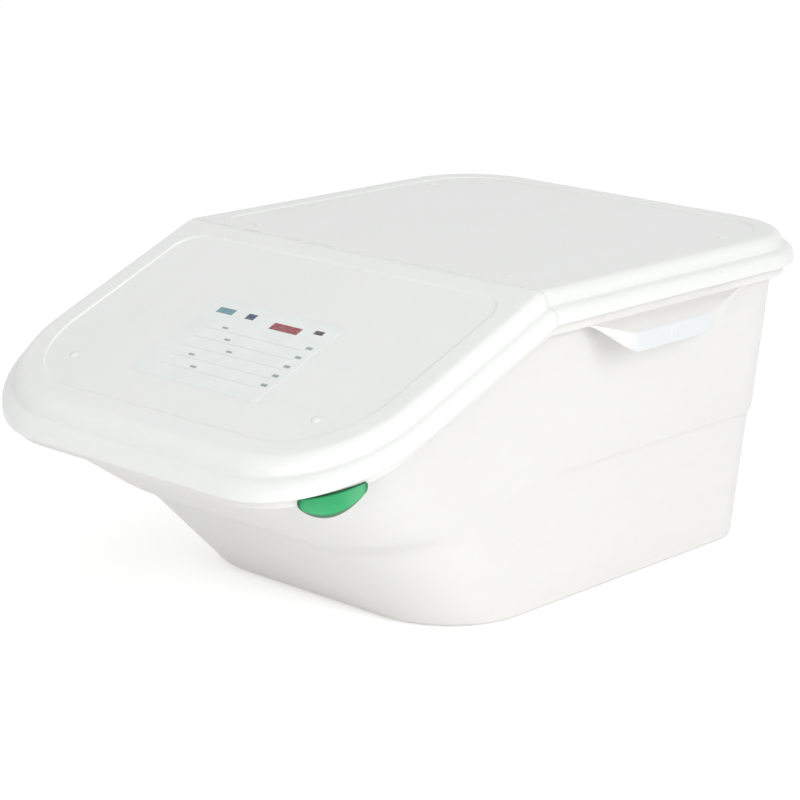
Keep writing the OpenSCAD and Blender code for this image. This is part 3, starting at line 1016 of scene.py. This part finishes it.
    def lip_ring(self, lip: tuple[float, float], grip: tuple[float, float]) -> Ring:
        """Works out a ring of the lip, which eases out to the grip ledges.

        Args:
            lip: Inset and drop of the plain lip.
            grip: Inset and drop on the grip ledges.

        Returns:
            The ring.
        """
        first, last = self.form.grip_front, self.form.grip_front + self.form.grip_length
        moved = []
        for p in self.form.ring(*lip):
            share = ease(min((p.y - first) / self.form.grip_run, (last - p.y) / self.form.grip_sweep))
            out = math.copysign(share * (lip[0] - grip[0]), p.x)
            moved.append(p + Vector((out, 0.0, share * (lip[1] - grip[1]))))
        return moved

    def rim_rings(self) -> list[Ring]:
        """Works out the rings under the rim, round the lip and its ledges, and over the rim.

        Returns:
            The rings.
        """
        ring = self.form.ring
        under = self.rim_drop + self.rim_t
        inner = self.form.lip_in + self.form.lip_t
        foot = self.form.lip_drop
        edge, back, t = -self.grip_out, self.grip_t - self.grip_out, self.grip_t
        top, low = foot + self.grip_fall, foot + self.grip_depth
        # Each pair is a point of the lip's section, then where a grip ledge moves it: inset and drop.
        lip = [((inner, foot - 0.0007), (inner, foot + t)),
               ((inner - 0.0003, foot - 0.0002), (back + 0.001, top + t)),
               ((inner - 0.0005, foot - 0.0001), (back, top + t + 0.001)),
               ((inner - 0.0007, foot), (back, low)),
               ((inner - 0.0013, foot), (edge + 0.0006, low)),
               ((self.form.lip_in + 0.0005, foot - 0.0001), (edge, low - 0.0006)),
               ((self.form.lip_in + 0.0004, foot - 0.0002), (edge, top + 0.0035)),
               ((self.form.lip_in + 0.0003, foot - 0.0003), (edge + 0.0006, top + 0.0014)),
               ((self.form.lip_in + 0.0002, foot - 0.0004), (edge + 0.0016, top + 0.0004)),
               ((self.form.lip_in + 0.0001, foot - 0.0005), (edge + 0.004, top - 0.0004)),
               ((self.form.lip_in, foot - 0.0007), (self.form.lip_in - 0.001, foot + 0.0003)),
               ((self.form.lip_in, foot - 0.0012), (self.form.lip_in, foot - 0.0006))]
        shoulder_in, shoulder_z = self.shoulder
        radius = shoulder_in - self.rim_edge_in
        turns = [math.pi / 2 * k / 6 for k in range(6, -1, -1)]
        return ([ring(self.neck_in, under), ring(inner, under)]
                + [self.lip_ring(*pair) for pair in lip]
                + [ring(self.form.lip_in, under), ring(shoulder_in, under),
                   ring(self.rim_edge_in + self.rim_t, shoulder_z)]
                + [ring(shoulder_in - radius * math.sin(a), shoulder_z - radius * math.cos(a))
                   for a in turns]
                + [ring(self.neck_in + self.wall - 0.001, self.rim_drop),
                   ring(self.neck_in + self.wall, self.rim_drop + 0.001)])

    def inner_rings(self) -> list[Ring]:
        """Works out the inner wall from the neck down to the floor.

        Returns:
            The rings.
        """
        _, step, over, neck = self.levels()
        low = self.low_level(self.floor + self.foot_r)
        down = ([self.between(neck, over, s) for s in (0.3, 0.6, 0.9)]
                + self.bent(self.between(neck, over, 0.94), over, self.between(over, step, 0.4))
                + self.bent(self.between(over, step, 0.6), step, self.between(step, low, 0.1))
                + [self.between(step, low, s) for s in (0.4, 0.7)])
        rings = [self.wall_ring(neck, self.wall, self.wall)]
        rings += [self.wall_ring(level, self.wall, self.front_wall) for level in down]
        for k in range(6):
            a = math.pi / 2 * k / 5
            level = self.low_level(self.floor + self.foot_r * (1 - math.sin(a)))
            inset = self.foot_r * (1 - math.cos(a))
            rings.append(self.wall_ring(level, self.wall + inset, self.front_wall + inset))
        return rings

    def build_ribs(self, finish: bpy.types.Material) -> bpy.types.Object:
        """Builds the thin upright rib on each grip ledge's face, both as one piece.

        Args:
            finish: Their material, lighter than the tub's: a painted highlight.

        Returns:
            The ribs.
        """
        top = self.form.lip_drop + self.grip_fall + 0.0015
        low = self.form.lip_drop + self.grip_depth - 0.0008
        first = self.form.grip_front + self.form.grip_run
        last = self.form.grip_front + self.form.grip_length - self.form.grip_sweep
        deep, wide = self.rib
        bm = bmesh.new()
        for sign in (1, -1):
            bar = bmesh.ops.create_cube(bm, size=1.0)["verts"]
            bmesh.ops.scale(bm, vec=(deep, wide, low - top), verts=bar)
            at = (sign * (self.form.skirt.half_w + self.grip_out + 0.0004 - deep / 2), (first + last) / 2,
                  self.form.height - (top + low) / 2)
            bmesh.ops.translate(bm, vec=at, verts=bar)
        bmesh.ops.bevel(bm, geom=bm.edges[:], offset=0.0004, affect="EDGES", segments=2, profile=0.5,
                        material=-1)
        piece = finished("grip_ribs", bm, 50.0)
        piece.data.materials.append(finish)
        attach(piece, "tub")
        return piece

    def build(self, finish: bpy.types.Material, rib_highlight_finish: bpy.types.Material) -> list[bpy.types.Object]:
        """Builds and dresses the tub.

        Args:
            finish: The tub's material.
            rib_highlight_finish: The material of the ribs.

        Returns:
            The moulding, which stands for its node, and its ribs.
        """
        first, *rest = self.outer_rings() + self.rim_rings() + self.inner_rings()
        stack = RingStack(first)
        stack.cap()
        stack.pull_through(rest)
        stack.cap()
        piece = finished("tub_moulding", stack.bm, 40.0)
        piece.data.materials.append(finish)
        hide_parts("tub")
        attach(piece, "tub")
        # The ribs take the lighter finish, a painted highlight.
        return [piece, self.build_ribs(rib_highlight_finish)]


@dataclass
class ColourClip:
    """The colour clip: a ridged leaf outside the rim lip, and a hook behind it.

    Attributes:
        form: The shared sizes.
        middle: Bearing of its middle round the front corner, in degrees.
        half: Half the angle that it covers.
        hook_half: Half the angle that the hook covers.
        top: Drop from the crest to its top edge, at the tip on the front.
        tilt: Drop of the tip on the side below the tip on the front.
        height: Its height at the middle and at the tips.
        bulge: Its thickness at the middle and at the tips.
        blunt: Share of the leaf's half over which each tip is rounded.
        gap: Clearance between the clip and the rim lip.
        hook_t: Thickness of the hook.
        hook_top: Drop of the hook's top below the leaf's.
        columns: Sections across the leaf.
        rim: Name of the attribute that masks the leaf's painted shade: a darker rim, darker tips and a
            darker facet below the ridge.
        shade_steps: Steps of the section over which the mask fades.
        tip_shade_from: Share of the leaf's half at which the tips' mask sets in.
    """

    form: BinForm
    middle: float = 41.0
    half: float = 15.0
    hook_half: float = 9.0
    top: float = 0.0266
    tilt: float = 0.003
    height: tuple[float, float] = (0.0167, 0.0062)
    bulge: tuple[float, float] = (0.008, 0.0035)
    blunt: float = 0.1
    gap: float = 0.0003
    hook_t: float = 0.0018
    hook_top: float = 0.0015
    columns: int = 40
    rim: str = "rim"
    shade_steps: float = 3.5
    tip_shade_from: float = 0.82

    def point(self, bearing: float, radius: float, drop: float) -> Vector:
        """Places a point round the front corner.

        Args:
            bearing: Bearing round the front corner, in degrees.
            radius: Distance from its centre.
            drop: Drop below the crest.

        Returns:
            The point.
        """
        a = math.radians(bearing)
        plan = self.form.skirt
        y = plan.front_r - plan.front - radius * math.sin(a)
        x = plan.half_w - plan.front_r + radius * math.cos(a)
        return Vector((x, y, self.form.crest(y) - drop))

    def face_ring(self, share: float) -> Ring:
        """Draws the leaf's section.

        Args:
            share: Place across it, -1 to 1.

        Returns:
            The section's ring.
        """
        swell = 1 - share * share
        full = lerp(self.height[1], self.height[0], swell)
        end = min(1.0, (1 - abs(share)) / self.blunt)
        bluff = 0.35 + 0.65 * math.sqrt(end * (2 - end))
        tall = full * bluff
        thick = lerp(self.bulge[1], self.bulge[0], swell) * bluff
        top = self.top + self.tilt * (1 - share) / 2 + (full - tall) / 2
        back = self.form.skirt.front_r - self.form.lip_in + self.gap
        outline = filleted([(0.0, 0.0, 0.0), (0.42 * thick, 0.0, 0.1 * thick),
                            (thick, 0.66 * tall, 0.08 * thick), (0.3 * thick, tall, 0.1 * thick),
                            (0.0, tall, 0.0)], 4)
        bearing = self.middle + share * self.half
        return [self.point(bearing, back + r, top + drop) for r, drop in outline]

    def hook_ring(self, bearing: float) -> Ring:
        """Draws the hook's section.

        Args:
            bearing: Its bearing, in degrees.

        Returns:
            The section's ring.
        """
        inner = self.form.skirt.front_r - self.form.lip_in - self.form.lip_t - self.gap
        outer = self.form.skirt.front_r - self.form.lip_in + self.gap + self.hook_t
        low, high = self.form.lip_drop + self.gap, self.top + self.hook_top
        corners = [(inner, low), (inner, high), (inner - self.hook_t, high),
                   (inner - self.hook_t, low + self.hook_t), (outer, low + self.hook_t), (outer, low)]
        return [self.point(bearing, r, drop) for r, drop in corners]

    def lofted(self, rings: list[Ring]) -> bmesh.types.BMesh:
        """Pulls a section through its rings and closes both ends.

        Args:
            rings: The rings in order.

        Returns:
            The closed mesh.
        """
        first, *rest = rings
        stack = RingStack(first)
        stack.cap()
        stack.pull_through(rest)
        stack.cap()
        return stack.bm

    def leaf(self, shares: list[float]) -> bmesh.types.BMesh:
        """Builds the leaf, with the mask of its painted shade, a darker rim, on the vertices.

        Args:
            shares: Places of its sections, from -1 to 1 across it.

        Returns:
            The closed mesh.
        """
        first, *rest = [self.face_ring(s) for s in shares]
        bm = bmesh.new()
        layer = bm.verts.layers.float.new(self.rim)
        stack = RingStack(first, bm)
        self.paint_rim_shade(stack, layer, shares[0])
        stack.cap()
        for share, places in zip(shares[1:], rest):
            stack.pull(places)
            self.paint_rim_shade(stack, layer, share)
        stack.cap()
        return stack.bm

    def paint_rim_shade(self, stack: RingStack, layer: bmesh.types.BMLayerItem, share: float) -> None:
        """Writes the mask of the painted shade on the present ring: full at its outline, none above the
        ridge.

        Args:
            stack: The skin, at the ring to write on.
            layer: The mask's layer.
            share: The ring's place across the leaf, -1 to 1.
        """
        middle = (len(stack.ring) - 1) / 2
        tip = (abs(share) - self.tip_shade_from) / (1 - self.tip_shade_from)
        for i, vert in enumerate(stack.ring):
            edge = max(1 - i / self.shade_steps, (i - middle + 1.5) / self.shade_steps)
            vert[layer] = min(1.0, max(0.0, edge, tip))

    def build(self, finish: bpy.types.Material) -> list[bpy.types.Object]:
        """Builds and dresses the clip.

        Args:
            finish: The clip's material.

        Returns:
            The leaf and the hook, which stand for the node together.
        """
        shares = [2 * i / self.columns - 1 for i in range(self.columns + 1)]
        leaf = finished("clip_leaf", self.leaf(shares), 50.0)
        hook = finished("clip_hook", self.lofted(
            [self.hook_ring(self.middle + self.hook_half * s) for s in shares[::2]]), 30.0)
        soften(hook, 0.0003, 30.0)
        for piece in (leaf, hook):
            piece.data.materials.append(finish)
            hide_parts("colour_clip")
            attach(piece, "clip")
        return [leaf, hook]


@dataclass
class Studio:
    """The floor, the lamps, the world and the camera.

    Attributes:
        eye: Place of the camera, in metres.
        azimuth: Bearing of the view, in degrees.
        elevation: Elevation of the view, in degrees.
        roll: Roll of the camera, in degrees.
        lens: Focal length on a 36 mm sensor.
        floor_size: Length of the floor's sides.
        ambient: Strength of the room's even light.
        floor_lift: Strength added to the floor where it is looked at.
        lamps: Each lamp's name, place, size and power.
        target: Place that the lamps point at.
    """

    eye: Vector = field(default_factory=lambda: Vector((1.3352, -1.4824, 0.6823)))
    azimuth: float = 42.13
    elevation: float = 15.24
    roll: float = 1.01
    lens: float = 116.46
    floor_size: float = 14.0
    ambient: float = 0.63
    floor_lift: float = 0.4
    lamps: tuple = (
        ("Key", (2.7, -0.6, 1.25), 1.6, 31.5),
        ("Front", (1.1, -2.8, 0.3), 1.4, 22.0),
        ("Top", (0.2, -0.2, 3.0), 2.4, 8.0),
    )
    target: Vector = field(default_factory=lambda: Vector((0.0, 0.0, 0.14)))

    def camera(self) -> bpy.types.Object:
        """Builds the camera at the photographed angle.

        Returns:
            The camera.
        """
        az, el, roll = (math.radians(v) for v in (self.azimuth, self.elevation, self.roll))
        back = Vector((math.sin(az) * math.cos(el), -math.cos(az) * math.cos(el), math.sin(el)))
        level = Vector((math.cos(az), math.sin(az), 0.0))
        upright = back.cross(level)
        right = level * math.cos(roll) + upright * math.sin(roll)
        up = upright * math.cos(roll) - level * math.sin(roll)
        data = bpy.data.cameras.new("Camera")
        data.lens = self.lens
        data.sensor_width = 36.0
        data.clip_end = 60.0
        made = bpy.data.objects.new("Camera", data)
        made.matrix_world = Matrix.Translation(self.eye) @ Matrix((right, up, back)).transposed().to_4x4()
        bpy.context.scene.collection.objects.link(made)
        bpy.context.scene.camera = made
        return made

    def light(self) -> None:
        """Hangs the soft lamps round the bin."""
        for name, place, size, power in self.lamps:
            data = bpy.data.lights.new(name, "AREA")
            data.shape = "DISK"
            data.size = size
            data.energy = power
            lamp = bpy.data.objects.new(name, data)
            away = Vector(place) - self.target
            turn = away.to_track_quat("Z", "Y").to_matrix().to_4x4()
            lamp.matrix_world = Matrix.Translation(place) @ turn
            bpy.context.scene.collection.objects.link(lamp)

    def looked_at(self, graph: Graph) -> bpy.types.NodeSocket:
        """Masks where the camera, a reflection or a clear piece sees the studio.

        Args:
            graph: The graph to add to.

        Returns:
            1 there, and 0 elsewhere.
        """
        path = graph.node("ShaderNodeLightPath").outputs
        mirrored = graph.math("MAXIMUM", path["Is Glossy Ray"], path["Is Transmission Ray"])
        return graph.math("MAXIMUM", path["Is Camera Ray"], mirrored)

    def world(self) -> None:
        """Lights the room evenly and shows it white to the camera."""
        made = bpy.data.worlds.new("Studio")
        made.use_nodes = True
        graph = Graph(made.node_tree)
        strength = graph.span(self.looked_at(graph), 0.0, 1.0, self.ambient, 1.0)
        sky = graph.node("ShaderNodeBackground", {"Color": (1.0, 1.0, 1.0, 1.0), "Strength": strength})
        graph.node("ShaderNodeOutputWorld", {"Surface": sky.outputs[0]})
        bpy.context.scene.world = made

    def floor(self) -> bpy.types.Object:
        """Lays the pale floor that keeps the bin's shadow.

        Returns:
            The floor.
        """
        bm = bmesh.new()
        bmesh.ops.create_grid(bm, x_segments=4, y_segments=4, size=self.floor_size / 2)
        made = finished("studio_floor", bm)
        finish = bpy.data.materials.new("Floor")
        finish.use_nodes = True
        graph = Graph(finish.node_tree)
        place = graph.node("ShaderNodeTexCoord").outputs["Object"]
        tone = graph.mix(graph.noise(place, 3.0, 2.0), (0.9, 0.9, 0.9, 1.0), (0.92, 0.92, 0.92, 1.0))
        paper = graph.node("ShaderNodeBsdfDiffuse", {"Color": tone})
        lift = graph.node("ShaderNodeEmission", {
            "Strength": graph.math("MULTIPLY", self.looked_at(graph), self.floor_lift)})
        both = graph.node("ShaderNodeAddShader", {0: paper.outputs[0], 1: lift.outputs[0]})
        graph.node("ShaderNodeOutputMaterial", {"Surface": both.outputs[0]})
        made.data.materials.append(finish)
        return made

    def build(self) -> None:
        """Sets up the whole studio."""
        self.world()
        self.light()
        self.floor()
        self.camera()
        bpy.context.scene.view_settings.view_transform = "Standard"


LID_FINISH = MouldedPlastic("Natural polypropylene, lid", (0.845, 0.86, 0.835), (0.875, 0.885, 0.865))
# The tub's second colour is painted shade: bluish grey on the grip ledges' outer edge and face, for the
# shade behind the thin ledge.
TUB_FINISH = MouldedPlastic("Natural polypropylene, tub", (0.825, 0.817, 0.79), (0.86, 0.853, 0.83),
                            cloud_scale=6.0, rough=0.42, milk=0.3, thin=(0.74, 0.772, 0.785),
                            painted_shade_beyond=(0.2085, 0.2146))
# The ribs' finish is the tub's plastic made lighter: a painted highlight on the ribs.
RIB_HIGHLIGHT_FINISH = MouldedPlastic("Natural polypropylene, ribs, painted highlight", (0.87, 0.87, 0.85), (0.9, 0.9, 0.885))
# The clip's second colour is painted shade: a deep green on its top edge, its tips and the facet below its
# ridge.
CLIP_FINISH = MouldedPlastic("Green clip", (0.016, 0.34, 0.115), (0.026, 0.39, 0.145), cloud_scale=60.0,
                             rough=0.38, milk=0.04, depth=0.001, thin=(0.003, 0.11, 0.04), rim="rim")
WEB_FINISH = MouldedPlastic("Bent web", (0.78, 0.79, 0.775), (0.86, 0.86, 0.85), cloud_scale=120.0,
                            rough=0.5)
FRONT_CORNER_R = 0.100
REAR_CORNER_R = 0.084
REAR_PIPS = ((-0.132, -0.035), (0.132, -0.035), (-0.156, 0.204), (0.156, 0.204))
FRONT_PIPS = ((-0.128, -0.2345), (0.128, -0.2345))
LABEL_FROM_CREASE = 0.138


def dress_node(node: str, finish: bpy.types.Material) -> bpy.types.Object:
    """Gives a node of the frame its material.

    Args:
        node: The node's name.
        finish: Its material.

    Returns:
        The node's object.
    """
    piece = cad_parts[node]
    piece.data.materials.clear()
    piece.data.materials.append(finish)
    return piece


def shared_form() -> BinForm:
    """Reads the lid's reach and height from the frame.

    Returns:
        The shared sizes.
    """
    flap_low, flap_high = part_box("front_flap")
    cover_low, cover_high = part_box("rear_cover")
    skirt = Plan(cover_high[0], -flap_low[1], cover_high[1], FRONT_CORNER_R, REAR_CORNER_R)
    return BinForm(skirt=skirt, height=cover_high[2])


def main() -> None:
    """Builds the bin and its studio."""
    logging.basicConfig(level=logging.INFO, format="%(name)s: %(message)s")
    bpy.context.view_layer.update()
    form = shared_form()
    effects = Effects()
    lid_finish = LID_FINISH.material(effects)
    pieces = [
        *Tub(form).build(TUB_FINISH.material(effects), RIB_HIGHLIGHT_FINISH.material(effects)),
        *LidPanel(form, Side.REAR, pips=REAR_PIPS).build(lid_finish),
        *LidPanel(form, Side.FRONT, pips=FRONT_PIPS).build(lid_finish),
        *ColourClip(form).build(CLIP_FINISH.material(effects)),
        dress_node("hinge_web", WEB_FINISH.material(effects)),
    ]
    label_y = -form.crease_at - LABEL_FROM_CREASE * math.cos(form.slope)
    centre = form.on_panel(0.0, label_y, LidPanel.recess_depth)
    pieces.append(dress_node("label", LabelFilm(centre, form.slope).material(effects)))
    Studio().build()
    for piece in pieces:
        log.info("%s: %d faces", piece.name, len(piece.data.polygons))


if __name__ == "__main__":
    main()
